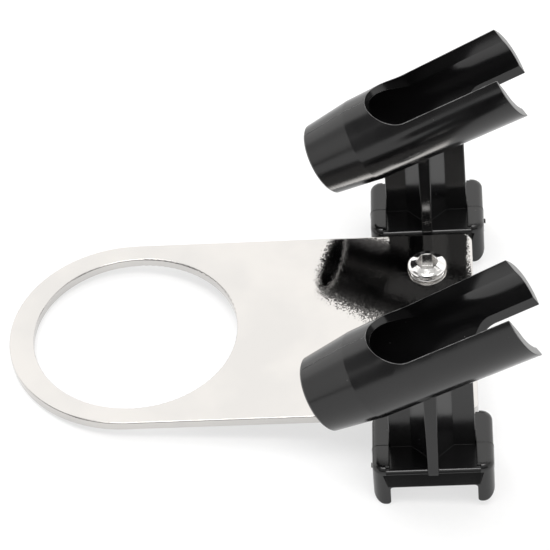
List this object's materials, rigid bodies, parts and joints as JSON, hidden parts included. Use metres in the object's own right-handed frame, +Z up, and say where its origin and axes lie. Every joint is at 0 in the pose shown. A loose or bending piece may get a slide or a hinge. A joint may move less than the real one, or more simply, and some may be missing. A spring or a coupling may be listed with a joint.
{
  "type": "airbrush holder bracket",
  "caption": "Flat ring bracket that drops over a round post and carries a slotted, tilted cradle tube on a saddle at each side of its far end.",
  "frame": {"origin": "centre of the ring's hole, half way through the plate", "axes": "+Z up, normal to the plate and along the ring's hole; +X from the ring to the holders; +Y to the rear holder"},
  "size_m": [0.107, 0.085, 0.0504],
  "materials": {
    "plated_steel": "bright nickel plate, mirror-like with a faint grain",
    "zinc_steel": "zinc plated, satin",
    "screw_steel": "bright plated",
    "black_plastic": "moulded, glossy black"
  },
  "bodies": {
    "bracket": {"ring_plate": "plated_steel", "cross_bar": "zinc_steel", "holder_rear": "black_plastic", "holder_front": "black_plastic"},
    "set_screw_rear": {"set_screw_rear": "screw_steel"},
    "set_screw_front": {"set_screw_front": "screw_steel"},
    "retaining_screw_rear": {"retaining_screw_rear": "screw_steel"},
    "retaining_screw_front": {"retaining_screw_front": "screw_steel"}
  },
  "joints": [
    {"name": "set_screw_rear_turn", "type": "hinge", "parent": "bracket", "child": "set_screw_rear", "pos_m": [0.05975, 0.0151, 0.001], "axis": [0, 0, 1], "continuous": true},
    {"name": "set_screw_front_turn", "type": "hinge", "parent": "bracket", "child": "set_screw_front", "pos_m": [0.05975, -0.0151, 0.001], "axis": [0, 0, 1], "continuous": true},
    {"name": "retaining_screw_rear_turn", "type": "hinge", "parent": "bracket", "child": "retaining_screw_rear", "pos_m": [0.05995, 0.033, -0.003], "axis": [0, 0, 1], "continuous": true},
    {"name": "retaining_screw_front_turn", "type": "hinge", "parent": "bracket", "child": "retaining_screw_front", "pos_m": [0.05995, -0.033, -0.003], "axis": [0, 0, 1], "continuous": true}
  ]
}
